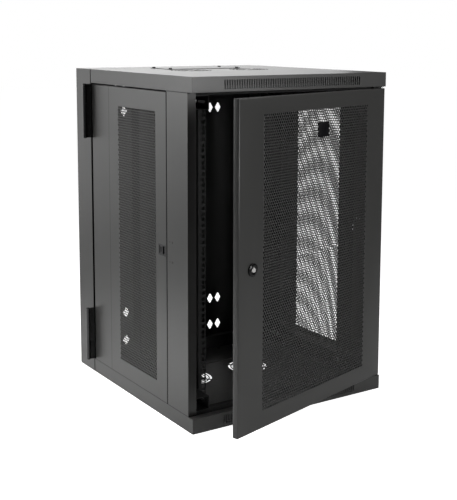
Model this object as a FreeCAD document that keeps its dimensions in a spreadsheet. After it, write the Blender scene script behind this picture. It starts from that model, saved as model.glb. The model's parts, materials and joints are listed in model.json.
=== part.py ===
import FreeCAD, Part
import os
import re

import Sketcher

# Hinged wall-mount network cabinet, 18 rack units, as one parametric document in millimetres.
# Origin: the centre of the face that goes against the wall. +Z is up, the wall is at Y = 0 and
# the cabinet's front looks along -Y. The front door is stored ajar, turned about its own pins.

SIZES = {
    # overall
    "wide": 620, "deep": 670, "tall": 902,
    "steel": 1.5,
    # wall section and the seam where the cabinet swings away from it
    "wall_depth": 96.5, "seam": 3, "wall_return": 20, "wall_lip": 18, "notch_gap": 3,
    # pairs of diamond-shaped wall fixing holes
    "diamond_wide": 21, "diamond_tall": 35, "diamond_tip": 8, "diamond_waist": 4,
    "diamond_outer": 185, "diamond_inner": 155, "diamond_high": 406, "diamond_low": 317,
    # top cover and base pan
    "flange": 39, "overhang": 22, "ledge_upturn": 14,
    "slot_wide": 3.4, "slot_tall": 23, "slot_pitch": 7.3, "slot_count": 60, "slot_drop": 9,
    # fan grilles
    "fan_offset": 98, "fan_depth": 310, "fan_pitch": 105, "fan_screw": 2.15,
    "ring_count": 5, "ring_first": 16.2, "ring_pitch": 9.8, "ring_slot": 6.2, "spoke_wide": 7,
    # cable entries
    "entry_wide": 214, "entry_deep": 84, "entry_back": 170, "entry_lap": 15,
    "entry_head": 5, "entry_head_tall": 3,
    # corner posts
    "post_side": 104, "post_face": 24, "post_return": 16, "post_step": 12, "post_ledge": 24,
    "post_slit_wide": 2, "post_slit_tall": 5, "post_slit_front": 76, "post_slit_pitch": 14,
    "post_slit_height": 26,
    "rear_post_gap": 3.5, "rear_post_inset": 4, "rear_post_deep": 46, "rear_post_lip": 10,
    # side panels
    "panel_gap": 3, "panel_back_gap": 7, "panel_fold": 9, "panel_low_gap": 0.3, "panel_top_gap": 3,
    "mesh_sheet": 1.2, "mesh_lap": 8,
    "side_mesh_front": 56.5, "side_mesh_wide": 214.5, "side_mesh_low": 47.5, "side_mesh_tall": 720,
    # plain grid that stands for the fine punching of the mesh sheets
    "grid_bar": 10, "grid_rows": 13, "side_grid_columns": 4, "door_grid_columns": 8,
    # side panel latch
    "latch_inset": 9, "latch_wide": 31, "latch_tall": 24, "latch_height": -2.5, "latch_wall": 1.2,
    "latch_rim": 2.5, "latch_deep": 9, "latch_body": 16, "latch_play": 0.5,
    "tongue_thick": 2.5, "tongue_tall": 10, "tongue_inset": 5.5, "tongue_room": 2.5,
    "groove_deep": 2.2, "groove_wide": 6, "groove_tall": 14,
    # 19-inch rack rails
    "rack_unit": 44.45, "rack_units": 18, "rack_holes": 465.1, "rack_opening": 450,
    "rack_edge": 6.35, "rack_step": 15.875, "rack_square": 9.5,
    "rail_steel": 2, "rail_wide": 22, "rail_deep": 40, "rail_setback": 76, "rear_rail_back": 230,
    "rail_spare": 6,
    # horizontal members
    "brace_tall": 36, "brace_slot": 7, "brace_slot_long": 110,
    "header_setback": 8, "header_drop": 8, "header_lip": 20,
    "rail_bolt_square": 6.4, "rail_bolt_step": 20,
    # swing hinges between wall section and cabinet
    "hinge_long": 155, "hinge_end": 42, "hinge_reach": 26, "hinge_leaf": 3, "hinge_gap": 0.5,
    "barrel": 5.5, "knuckle": 42, "pin_radius": 3, "running_gap": 0.05,
    "pin_cap": 1.2, "pin_cap_radius": 4.5,
    # front door
    "door_side_gap": 1, "door_low_gap": 1.5, "door_top_gap": 5, "door_back_gap": 2.5,
    "door_thick": 18, "door_lip": 15, "door_ajar": 16,
    "door_pin_side": 7, "door_pin_back": 10.5, "door_pin_radius": 4, "door_pin_reach": 12,
    "door_collar": 5, "door_collar_tall": 5,
    "bush_radius": 6, "bush_long": 6, "bush_flange": 7.5, "bush_step": 1,
    "door_mesh_free": 90, "door_mesh_hinge": 84, "door_mesh_low": 45, "door_mesh_top": 40,
    "stile_wide": 36, "stile_deep": 11, "stile_inset": 8, "stile_gap": 2,
    "bumper_radius": 4, "bumper_proud": 1.6, "bumper_spread": 275,
    # locks
    "lock_from_edge": 50, "lock_height": -3, "lock_rim": 16, "lock_rim_thick": 4,
    "lock_barrel": 9.5, "lock_long": 23, "swing_lock_long": 17, "plug_radius": 6, "plug_proud": 1.5,
    "key_thick": 1.6, "key_tall": 7, "key_deep": 9,
    "cam_long": 42, "cam_wide": 16, "cam_thick": 2.5, "nut_across": 24, "nut_thick": 4,
    "keeper_low": 12, "keeper_high": 48,
    "swing_lock_back": 60, "swing_cam_long": 36, "keeper_base": 16, "keeper_tall": 28,
    "keeper_lip": 18, "keeper_hold": 36, "keeper_gap": 2,
}

doc = FreeCAD.newDocument("network_cabinet")
sheet = doc.addObject("Spreadsheet::Sheet", "Sizes")
for row, (alias, number) in enumerate(SIZES.items(), start=1):
    sheet.set("A%d" % row, alias)
    sheet.set("B%d" % row, str(number))
    sheet.setAlias("B%d" % row, alias)
doc.recompute()

subparts = []

# Places worked out from the sizes, as expressions on them.
HALF = "wide / 2"
TOP = "tall / 2"
INNER_TOP = "(tall / 2 - flange)"
CABINET_BACK = "(-wall_depth - seam)"
POST_FRONT = "(-deep + overhang)"
POST_BACK = "(-deep + overhang + post_side)"
PANEL_FRONT = "(-deep + overhang + post_side + panel_gap)"
PANEL_BACK = "(-wall_depth - seam - panel_back_gap)"
REAR_POST_BACK = "(-wall_depth - seam - rear_post_gap)"
INNER_SIDE = "(wide / 2 - post_face)"
RAIL_OUT = "(rack_opening / 2 + rail_wide)"
DOOR_BACK = "(-deep + overhang - door_back_gap)"
DOOR_FRONT = "(-deep + overhang - door_back_gap - door_thick)"
DOOR_EDGE = "(wide / 2 - door_side_gap)"
DOOR_LOW = "(-tall / 2 + flange + door_low_gap)"
DOOR_HIGH = "(tall / 2 - flange - door_top_gap)"
DOOR_WINDOW = ("-%s + door_mesh_free" % DOOR_EDGE, "%s - door_mesh_hinge" % DOOR_EDGE,
               "%s + door_mesh_low" % DOOR_LOW, "%s - door_mesh_top" % DOOR_HIGH)
DOOR_AXIS_X = "(wide / 2 - door_side_gap - door_pin_side)"
DOOR_AXIS_Y = "(-deep + overhang - door_back_gap - door_pin_back)"
SWING_AXIS_X = "(-wide / 2 - hinge_reach + barrel)"
SWING_AXIS_Y = "(-wall_depth - hinge_leaf - hinge_gap / 2)"


def in_sheet(words):
    """Turn words such as 'wide / 2 - steel' into an expression on the sheet's cells."""
    def cell(found):
        word = found.group(0)
        return "Sizes." + word if word in SIZES else word

    return re.sub(r"[a-z_]+", cell, str(words))


def value(words):
    """The number that an expression on the sheet gives now."""
    return float(sheet.evalExpression(in_sheet(words)))


def bind(thing, **links):
    """Bind properties to expressions; a double underscore stands for a dot."""
    for prop, words in links.items():
        thing.setExpression(prop.replace("__", "."), in_sheet(words))


# ---- sketches and PartDesign features -------------------------------------------------------

def new_body(label):
    """An empty PartDesign body that becomes one sub-part."""
    body = doc.addObject("PartDesign::Body", label)
    body.Label = label
    body.AllowCompound = True
    subparts.append(body)
    return body


def draw_polygon(sketch, corners):
    """A closed outline whose corners are each bound to two expressions."""
    first = sketch.GeometryCount
    count = len(corners)
    points = [FreeCAD.Vector(value(x), value(y), 0) for x, y in corners]
    for index, point in enumerate(points):
        sketch.addGeometry(Part.LineSegment(point, points[(index + 1) % count]), False)
    for index in range(count):
        following = first + (index + 1) % count
        sketch.addConstraint(Sketcher.Constraint("Coincident", first + index, 2, following, 1))
    for index, corner in enumerate(corners):
        for kind, words in zip(("DistanceX", "DistanceY"), corner):
            place = sketch.addConstraint(
                Sketcher.Constraint(kind, -1, 1, first + index, 1, value(words)))
            sketch.setExpression("Constraints[%d]" % place, in_sheet(words))


def draw_circle(sketch, x, y, radius):
    """A circle with its centre and radius bound to expressions."""
    centre = FreeCAD.Vector(value(x), value(y), 0)
    circle = sketch.addGeometry(
        Part.Circle(centre, FreeCAD.Vector(0, 0, 1), value(radius)), False)
    for kind, words in (("DistanceX", x), ("DistanceY", y)):
        place = sketch.addConstraint(Sketcher.Constraint(kind, -1, 1, circle, 3, value(words)))
        sketch.setExpression("Constraints[%d]" % place, in_sheet(words))
    place = sketch.addConstraint(Sketcher.Constraint("Radius", circle, value(radius)))
    sketch.setExpression("Constraints[%d]" % place, in_sheet(radius))


def new_sketch(body, plane, offset, outlines, shift=("0", "0")):
    """A sketch on the body's own XY, XZ or YZ plane, moved along the plane's normal.

    An outline is a list of corners, or ("circle", x, y, radius). The normals are +Z, -Y, +X.
    """
    sketch = body.newObject("Sketcher::SketchObject", body.Name + "_sketch")
    role = plane + "_Plane"
    support = [flat for flat in body.Origin.OriginFeatures if flat.Role == role][0]
    sketch.AttachmentSupport = [(support, "")]
    sketch.MapMode = "FlatFace"
    bind(sketch, AttachmentOffset__Base__x=shift[0], AttachmentOffset__Base__y=shift[1],
         AttachmentOffset__Base__z=offset)
    for outline in outlines:
        if outline[0] == "circle":
            draw_circle(sketch, *outline[1:])
        else:
            draw_polygon(sketch, outline)
    return sketch


def pad(body, plane, start, length, outlines, shift=("0", "0")):
    """Add material from start by length along the plane's normal."""
    feature = body.newObject("PartDesign::Pad", body.Name + "_pad")
    feature.Profile = new_sketch(body, plane, start, outlines, shift)
    bind(feature, Length=length)
    body.Tip = feature
    return feature


def pocket(body, plane, end, length, outlines, shift=("0", "0")):
    """Cut away material from end back by length against the plane's normal."""
    feature = body.newObject("PartDesign::Pocket", body.Name + "_pocket")
    feature.Profile = new_sketch(body, plane, end, outlines, shift)
    bind(feature, Length=length)
    body.Tip = feature
    return feature


def repeat(body, feature, axis, pitch, count):
    """Repeat a feature in a row along one axis of its own sketch."""
    pattern = body.newObject("PartDesign::LinearPattern", body.Name + "_row")
    pattern.Originals = [feature]
    pattern.Direction = (feature.Profile[0], [axis])
    bind(pattern, Length="(%s) * (%s - 1)" % (pitch, count), Occurrences=count)
    body.Tip = pattern
    return pattern


def rectangle(left, right, low, high):
    """Corners of an upright rectangle."""
    return [(left, low), (right, low), (right, high), (left, high)]


def open_grid(body, plane, end, window, columns):
    """Cut a plain grid of openings through a mesh sheet, with a bar round each of them."""
    left, right, low, high = window
    step_across = "((%s) - (%s) - grid_bar) / %s" % (right, left, columns)
    step_up = "((%s) - (%s) - grid_bar) / grid_rows" % (high, low)
    row = []
    for index in range(SIZES[columns]):
        start = "%s + %d * %s + grid_bar" % (left, index, step_across)
        stop = "%s + %d * %s" % (left, index + 1, step_across)
        row.append(rectangle(start, stop, low + " + grid_bar", "%s + %s" % (low, step_up)))
    openings = pocket(body, plane, end, "mesh_sheet", row)
    repeat(body, openings, "V_Axis", step_up, "grid_rows")


def bent_sheet(path, thick="steel"):
    """Outline of a folded sheet: the path, then the same path one thickness to its right."""
    points = [(value(x), value(y)) for x, y in path]
    turns = []
    for (x0, y0), (x1, y1) in zip(points, points[1:]):
        length = max(abs(x1 - x0), abs(y1 - y0))
        turns.append((round((y1 - y0) / length), round((x0 - x1) / length)))
    inner = []
    for index, (x, y) in enumerate(path):
        near = turns[max(index - 1, 0):index + 1]
        move_x = sum(turn[0] for turn in near)
        move_y = sum(turn[1] for turn in near)
        inner.append(("%s + %d * %s" % (x, move_x, thick), "%s + %d * %s" % (y, move_y, thick)))
    return list(path) + inner[::-1]


def mirrored(outline, side):
    """The outline with its first coordinate multiplied by +1 or -1."""
    return [("%d * (%s)" % (side, x), y) for x, y in outline]


# ---- Part primitives ------------------------------------------------------------------------

UPRIGHT = FreeCAD.Rotation()
ALONG_Y = FreeCAD.Rotation(FreeCAD.Vector(1, 0, 0), -90)
ALONG_X = FreeCAD.Rotation(FreeCAD.Vector(0, 1, 0), 90)


def cylinder(name, radius, length, centre, turn=UPRIGHT):
    """A round bar from a centre point along +Z, or along +Y or +X when turned."""
    bar = doc.addObject("Part::Cylinder", name)
    bar.Placement = FreeCAD.Placement(FreeCAD.Vector(), turn)
    bind(bar, Radius=radius, Height=length, Placement__Base__x=centre[0],
         Placement__Base__y=centre[1], Placement__Base__z=centre[2])
    return bar


def hexagon(name, across, length, centre, turn=UPRIGHT):
    """A hexagonal nut blank of a given width across its flats."""
    nut = doc.addObject("Part::Prism", name)
    nut.Polygon = 6
    nut.Placement = FreeCAD.Placement(FreeCAD.Vector(), turn)
    bind(nut, Circumradius="(%s) / sqrt(3)" % across, Height=length,
         Placement__Base__x=centre[0], Placement__Base__y=centre[1],
         Placement__Base__z=centre[2])
    return nut


def block(name, corner, size):
    """A rectangular block from its lowest corner."""
    box = doc.addObject("Part::Box", name)
    bind(box, Length=size[0], Width=size[1], Height=size[2], Placement__Base__x=corner[0],
         Placement__Base__y=corner[1], Placement__Base__z=corner[2])
    return box


def fused(name, pieces):
    """One solid made of several that overlap or touch."""
    union = doc.addObject("Part::MultiFuse", name)
    union.Shapes = pieces
    union.Refine = True
    return union


def cut(name, base, tool):
    """The base with the tool's shape taken away."""
    result = doc.addObject("Part::Cut", name)
    result.Base = base
    result.Tool = tool
    return result


def group(label, pieces):
    """Several identical small solids that share one node."""
    compound = doc.addObject("Part::Compound", label)
    compound.Links = pieces
    compound.Label = label
    subparts.append(compound)
    return compound


def keep(label, piece):
    """Name a finished Part object as a sub-part."""
    piece.Label = label
    subparts.append(piece)
    return piece


# ---- wall section ---------------------------------------------------------------------------

def diamond():
    """An upright diamond hole with blunt tips and a short waist, centred on the sketch."""
    quarter = [("diamond_tip / 2", "diamond_tall / 2"), ("diamond_wide / 2", "diamond_waist / 2")]
    corners = []
    for side_x, side_z, points in ((1, 1, quarter), (1, -1, quarter[::-1]),
                                   (-1, -1, quarter), (-1, 1, quarter[::-1])):
        for x, z in points:
            corners.append(("%d * %s" % (side_x, x), "%d * %s" % (side_z, z)))
    return corners


def wall_section():
    """The shallow box on the wall: four walls with front returns, and a back panel in them."""
    body = new_body("wall_shell")
    side = HALF + " - steel"
    end = TOP + " - steel"
    inside = rectangle("-(%s)" % side, side, "-(%s)" % end, end)
    pad(body, "XZ", "0", "wall_depth", [rectangle("-" + HALF, HALF, "-" + TOP, TOP)])
    pocket(body, "XZ", "wall_depth - steel", "wall_depth - steel", [inside])
    side = HALF + " - wall_return"
    end = TOP + " - wall_lip"
    pocket(body, "XZ", "wall_depth", "steel",
           [rectangle("-(%s)" % side, side, "-(%s)" % end, end)])
    # a notch in the right return lets the swing lock's cam and keeper through
    pocket(body, "XZ", "wall_depth", "steel", [rectangle(
        HALF + " - wall_return", HALF + " - steel",
        "-cam_wide / 2 - notch_gap", "keeper_base + keeper_tall + notch_gap")])
    pocket(body, "YZ", HALF, "steel",
           [("circle", "-swing_lock_back", "0", "lock_barrel + running_gap")])
    panel = new_body("wall_back_panel")
    pad(panel, "XZ", "0", "steel", [inside])
    for x in ("-diamond_outer", "-diamond_inner", "diamond_inner", "diamond_outer"):
        for z in ("-diamond_high", "-diamond_low", "diamond_low", "diamond_high"):
            pocket(panel, "XZ", "steel", "steel", [diamond()], (x, z))


def hinge_leaf(label, height, side, knuckles, gaps):
    """One leaf of a swing hinge: a flat plate that ends in bored knuckles.

    side is +1 for the wall section's leaf and -1 for the cabinet's.
    """
    body = new_body(label)
    near = "%s + %d * hinge_gap / 2" % (SWING_AXIS_Y, side)
    far = "%s + %d * (hinge_gap / 2 + hinge_leaf)" % (SWING_AXIS_Y, side)
    low = height + " - hinge_long / 2"
    root = "-%s + wall_return - steel" % HALF
    pad(body, "XY", low, "hinge_long",
        [[(SWING_AXIS_X, near), (root, near), (root, far), (SWING_AXIS_X, far)]])
    for start, length in knuckles:
        pad(body, "XY", height + " + " + start, length,
            [("circle", SWING_AXIS_X, SWING_AXIS_Y, "barrel")])
    clear = "barrel + hinge_gap"
    for start, length in gaps:
        pocket(body, "XY", height + " + " + start + " + " + length, length, [rectangle(
            "%s - %s" % (SWING_AXIS_X, clear), "%s + %s" % (SWING_AXIS_X, clear),
            "%s - %s" % (SWING_AXIS_Y, clear), "%s + %s" % (SWING_AXIS_Y, clear))])
    pocket(body, "XY", height + " + hinge_long / 2", "hinge_long",
           [("circle", SWING_AXIS_X, SWING_AXIS_Y, "pin_radius + running_gap")])


def swing_hinges():
    """Two large lift-apart hinges on the left, at the seam."""
    side_length = "(hinge_long / 2 - knuckle / 2 - hinge_gap)"
    outer = [("-hinge_long / 2", side_length), ("knuckle / 2 + hinge_gap", side_length)]
    outer_gap = "(hinge_long / 2 - knuckle / 2)"
    outer_gaps = [("-hinge_long / 2", outer_gap), ("knuckle / 2", outer_gap)]
    middle = [("-knuckle / 2", "knuckle")]
    middle_gap = [("-knuckle / 2 - hinge_gap", "(knuckle + 2 * hinge_gap)")]
    for name, sign in (("upper", ""), ("lower", "-")):
        height = sign + "(tall / 2 - hinge_end - hinge_long / 2)"
        hinge_leaf("wall_hinge_leaf_" + name, height, 1, outer, middle_gap)
        hinge_leaf("cabinet_hinge_leaf_" + name, height, -1, middle, outer_gaps)
        shank = cylinder("pin_shank", "pin_radius", "hinge_long",
                         (SWING_AXIS_X, SWING_AXIS_Y, height + " - hinge_long / 2"))
        ends = (height + " + hinge_long / 2", height + " - hinge_long / 2 - pin_cap")
        caps = [cylinder("pin_cap", "pin_cap_radius", "pin_cap", (SWING_AXIS_X, SWING_AXIS_Y, end))
                for end in ends]
        keep("swing_hinge_pin_" + name, fused("hinge_pin", [shank] + caps))


# ---- top cover and base pan -----------------------------------------------------------------

def fan_grille(body, x, end):
    """A round grille of ring slots held by two crossing spokes, with four fan screw holes."""
    centre = (x, "-fan_depth")
    rings = []
    for index in range(SIZES["ring_count"]):
        middle = "ring_first + %d * ring_pitch" % index
        rings.append(("circle", "0", "0", middle + " - ring_slot / 2"))
        rings.append(("circle", "0", "0", middle + " + ring_slot / 2"))
    screws = [("circle", "%d * fan_pitch / 2" % sx, "%d * fan_pitch / 2" % sy, "fan_screw")
              for sx in (-1, 1) for sy in (-1, 1)]
    pocket(body, "XY", end, "steel", rings + screws, centre)
    # each spoke is a bar at 45 degrees, so its corners are shares of these two lengths
    reach = "(ring_first + (ring_count - 0.5) * ring_pitch) / sqrt(2)"
    half = "spoke_wide / 2 / sqrt(2)"
    for tilt in (1, -1):
        pad(body, "XY", end + " - steel", "steel", [[
            ("-%s - %s" % (reach, half), "%d * (-%s + %s)" % (tilt, reach, half)),
            ("-%s + %s" % (reach, half), "%d * (-%s - %s)" % (tilt, reach, half)),
            ("%s + %s" % (reach, half), "%d * (%s - %s)" % (tilt, reach, half)),
            ("%s - %s" % (reach, half), "%d * (%s + %s)" % (tilt, reach, half))]], centre)


def pan(label, side):
    """The top cover (side +1) or the base pan (side -1): a folded pan with a boxed front edge."""
    body = new_body(label)
    low = "tall / 2 - flange" if side > 0 else "-tall / 2"
    pad(body, "XY", low, "flange", [rectangle("-" + HALF, HALF, "-deep", CABINET_BACK)])
    hollow_end = "tall / 2 - steel" if side > 0 else "-tall / 2 + flange"
    pocket(body, "XY", hollow_end, "flange - steel", [rectangle(
        "-(%s - steel)" % HALF, HALF + " - steel", "-deep + steel", CABINET_BACK + " - steel")])
    # the front flange folds back as a ledge under the cover's front and turns up behind it
    edge = "%d * (tall / 2 - flange)" % side
    turn = "%d * (tall / 2 - flange + ledge_upturn)" % side
    above = edge + " + %d * steel" % side
    before = POST_FRONT + " - steel"
    ledge = [("-deep + steel", edge), (POST_FRONT, edge), (POST_FRONT, turn),
             (before, turn), (before, above), ("-deep + steel", above)]
    pad(body, "YZ", "-(%s - steel)" % HALF, "wide - 2 * steel", [ledge])
    # openings in the flat of the pan
    face = "tall / 2" if side > 0 else "-tall / 2 + steel"
    for x in ("-fan_offset", "fan_offset"):
        fan_grille(body, x, face)
    pocket(body, "XY", face, "steel", [rectangle(
        "-entry_wide / 2", "entry_wide / 2",
        "-entry_back - entry_deep / 2", "-entry_back + entry_deep / 2")])
    # hole for the door's hinge bush
    ledge_top = "tall / 2 - flange + steel" if side > 0 else "-tall / 2 + flange"
    pocket(body, "XY", ledge_top, "steel",
           [("circle", DOOR_AXIS_X, DOOR_AXIS_Y, "bush_radius + running_gap")])
    # row of ventilation slots in the front flange
    slot_middle = "%d * (tall / 2 - slot_drop - slot_tall / 2)" % side
    row = "slot_pitch * (slot_count - 1)"
    slot = pocket(body, "XZ", "deep", "steel", [rectangle(
        "-%s / 2 - slot_wide / 2" % row, "-%s / 2 + slot_wide / 2" % row,
        slot_middle + " - slot_tall / 2", slot_middle + " + slot_tall / 2")])
    repeat(body, slot, "H_Axis", "slot_pitch", "slot_count")


def cable_plates():
    """Blanking plates over the cable entries, each with four screw heads at its corners."""
    screw_x = "(entry_wide / 2 + entry_lap / 2)"
    screw_y = "(entry_deep / 2 + entry_lap / 2)"
    for label, face in (("top_cable_plate", "tall / 2"), ("base_cable_plate", "-tall / 2 + steel")):
        body = new_body(label)
        pad(body, "XY", face, "steel", [rectangle(
            "-entry_wide / 2 - entry_lap", "entry_wide / 2 + entry_lap",
            "-entry_back - entry_deep / 2 - entry_lap", "-entry_back + entry_deep / 2 + entry_lap")])
        group(label + "_screws", [
            cylinder("head", "entry_head", "entry_head_tall",
                     ("%d * %s" % (sx, screw_x), "-entry_back + %d * %s" % (sy, screw_y),
                      face + " + steel"))
            for sx in (-1, 1) for sy in (-1, 1)])


# ---- frame of the cabinet -------------------------------------------------------------------

def front_post(label, side):
    """A folded corner post: inner return, front face and outer side."""
    body = new_body(label)
    path = [(INNER_SIDE, POST_FRONT + " + post_return"), (INNER_SIDE, POST_FRONT),
            (HALF, POST_FRONT), (HALF, POST_BACK)]
    left = [("-(%s)" % x, y) for x, y in path]
    outline = bent_sheet(left)
    if side > 0:
        outline = mirrored(outline, -1)
    pad(body, "XY", "-" + INNER_TOP, "2 * %s" % INNER_TOP, [outline])
    # tongues that stand inside the top cover and the base pan
    tongue = bent_sheet([
        ("-(%s - steel)" % HALF, POST_FRONT + " + steel"),
        ("-(%s - steel)" % HALF, POST_BACK)])
    tongue = mirrored(tongue, -side) if side > 0 else tongue
    for low in (INNER_TOP, "-tall / 2 + steel"):
        pad(body, "XY", low, "flange - steel", [tongue])
    bridge = rectangle("-(%s)" % HALF, "-(%s - 2 * steel)" % HALF,
                       POST_FRONT + " + steel", POST_BACK)
    bridge = mirrored(bridge, -side) if side > 0 else bridge
    for low in (INNER_TOP + " - steel", "-" + INNER_TOP):
        pad(body, "XY", low, "steel", [bridge])
    # keeper notch for the door lock's cam, in the inner return
    low = "lock_height - keeper_low"
    high = "lock_height + keeper_high"
    pocket(body, "YZ", "%d * %s%s" % (side, INNER_SIDE, " + steel" if side > 0 else ""), "steel",
           [rectangle(POST_FRONT + " + steel", POST_FRONT + " + post_return - 2 * steel", low, high)])
    post_slits(body, side)


def post_slits(body, side):
    """Pairs of small upright slits in the post's side face, above and below the middle."""
    end = "%d * %s%s" % (side, HALF, "" if side > 0 else " + steel")
    front = "(%s + post_slit_front)" % POST_FRONT
    slits = []
    for step in (0, 1):
        for level in (-1, 1):
            y = "(%s + %d * post_slit_pitch)" % (front, step)
            z = "%d * post_slit_height" % level
            slits.append(rectangle(
                y + " - post_slit_wide / 2", y + " + post_slit_wide / 2",
                z + " - post_slit_tall / 2", z + " + post_slit_tall / 2"))
    pocket(body, "YZ", end, "steel", slits)


def panel_jamb(label, side):
    """Two strips welded inside the post's rear edge: a step, and the ledge the panel lies on.

    The step has a notch in its outer edge for the tongue of the side panel's latch.
    """
    step_out = "(%s - steel)" % HALF
    ledge_out = "(%s - post_step + steel)" % HALF
    step_front = "(%s - steel)" % POST_BACK
    long = "2 * " + INNER_TOP
    notch_deep = "(tongue_inset + tongue_thick / 2 + latch_play)"

    def strip(name, near, far, front, deep, low, tall):
        corner = "%d * %s" % (side, near if side < 0 else far)
        return block(name, (corner, front, low), ("%s - %s" % (near, far), deep, tall))

    step = strip("step", step_out, ledge_out, step_front, "steel", "-" + INNER_TOP, long)
    notch = strip("notch", step_out, "(%s - %s)" % (HALF, notch_deep), step_front, "steel",
                  "latch_height - tongue_tall / 2 - tongue_room", "tongue_tall + 2 * tongue_room")
    ledge = strip("ledge", ledge_out, "(%s - post_step)" % HALF, step_front,
                  "steel + post_ledge", "-" + INNER_TOP, long)
    group(label, [cut("notched_step", step, notch), ledge])


def rear_post(label, side):
    """A folded channel behind the side panel's rear edge; its back carries the swing hinges."""
    body = new_body(label)
    path = [("-(%s - rear_post_inset)" % HALF, REAR_POST_BACK), ("-" + INNER_SIDE, REAR_POST_BACK),
            ("-" + INNER_SIDE, REAR_POST_BACK + " - rear_post_deep"),
            ("-(%s + rear_post_lip)" % INNER_SIDE, REAR_POST_BACK + " - rear_post_deep")]
    outline = bent_sheet(path)
    if side > 0:
        outline = mirrored(outline, -1)
    pad(body, "XY", "-(tall / 2 - steel)", "tall - 2 * steel", [outline])


def cross_members():
    """Headers and sills between the front posts and between the rear posts."""
    for place, edge, turn in (("front", POST_FRONT + " + header_setback", 1),
                              ("rear", REAR_POST_BACK, -1)):
        for name, side in (("header", 1), ("sill", -1)):
            body = new_body(place + "_" + name)
            high = "%d * (tall / 2 - steel)" % side
            low = "%d * (tall / 2 - flange - header_drop)" % side
            back = edge + " + %d * header_lip" % turn
            inner = edge + " + %d * steel" % turn
            lift = low + " + %d * steel" % side
            pad(body, "YZ", "-" + INNER_SIDE, "2 * " + INNER_SIDE, [[
                (edge, high), (edge, low), (back, low), (back, lift), (inner, lift), (inner, high)]])


def braces():
    """Four side members between front and rear posts, slotted so that the rails can move."""
    for left_right, side in (("left", -1), ("right", 1)):
        for high_low, level in (("upper", 1), ("lower", -1)):
            body = new_body("%s_brace_%s" % (high_low, left_right))
            near = "%d * %s" % (level, INNER_TOP)
            high = near + " - %d * header_drop" % level
            low = high + " - %d * brace_tall" % level
            web = "%d * %s" % (side, RAIL_OUT)
            out = "%d * %s" % (side, INNER_SIDE)
            thick = "%d * steel" % side
            lift = "%d * steel" % level
            profile = [(out, high), (web, high), (web, low), (out, low),
                       (out, low + " + " + lift), (web + " + " + thick, low + " + " + lift),
                       (web + " + " + thick, high + " - " + lift), (out, high + " - " + lift)]
            front = "-(%s + steel)" % POST_FRONT
            back = "-%s" % REAR_POST_BACK
            pad(body, "XZ", back, front + " - (%s)" % back, [profile])
            middle = "(%s - %d * brace_tall / 2)" % (high, level)
            rails = ("-deep + rail_setback + rail_deep / 2", "-rear_rail_back - rail_deep / 2")
            slots = [rectangle("%s - brace_slot_long / 2" % y, "%s + brace_slot_long / 2" % y,
                               middle + " - brace_slot / 2", middle + " + brace_slot / 2")
                     for y in rails]
            end = web + " + steel" if side > 0 else web
            pocket(body, "YZ", end, "steel", slots)


def rack_rail(label, side, face, turn):
    """A square-hole rail: front flange with the 19-inch hole pattern and a side web."""
    body = new_body(label)
    inner = "rack_opening / 2"
    back = "%s + %d * rail_deep" % (face, turn)
    lip = "%s + %d * rail_steel" % (face, turn)
    outline = [(inner, face), (RAIL_OUT, face), (RAIL_OUT, back), (RAIL_OUT + " - rail_steel", back),
               (RAIL_OUT + " - rail_steel", lip), (inner, lip)]
    half_long = "(rack_unit * rack_units / 2 + rail_spare / 2)"
    pad(body, "XY", "-" + half_long, "2 * " + half_long, [mirrored(outline, side)])
    middle = "%d * rack_holes / 2" % side
    squares = []
    for index in range(3):
        height = "(-rack_unit * rack_units / 2 + rack_edge + %d * rack_step)" % index
        squares.append(rectangle(middle + " - rack_square / 2", middle + " + rack_square / 2",
                                 height + " - rack_square / 2", height + " + rack_square / 2"))
    end = "-(%s)" % face if turn > 0 else "-(%s) + rail_steel" % face
    holes = pocket(body, "XZ", end, "rail_steel", squares)
    repeat(body, holes, "V_Axis", "rack_unit", "rack_units")
    # square holes for the carriage bolts that clamp the rail to the braces
    web = "%d * %s" % (side, RAIL_OUT)
    half_bolt = "rail_bolt_square / 2"
    holes = []
    for level in (-1, 1):
        z = "%d * (%s - header_drop - brace_tall / 2)" % (level, INNER_TOP)
        for step in (-1, 1):
            y = "%s + %d * rail_deep / 2 + %d * rail_bolt_step / 2" % (face, turn, step)
            holes.append(rectangle("%s - %s" % (y, half_bolt), "%s + %s" % (y, half_bolt),
                                   "%s - %s" % (z, half_bolt), "%s + %s" % (z, half_bolt)))
    pocket(body, "YZ", web if side > 0 else web + " + rail_steel", "rail_steel", holes)


def rails():
    """The four rails: the front pair faces the door, the rear pair faces the wall."""
    for hand, sign in (("left", -1), ("right", 1)):
        rack_rail("front_rail_" + hand, sign, "(-deep + rail_setback)", 1)
        rack_rail("rear_rail_" + hand, sign, "(-rear_rail_back)", -1)


# ---- side panels ----------------------------------------------------------------------------

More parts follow.
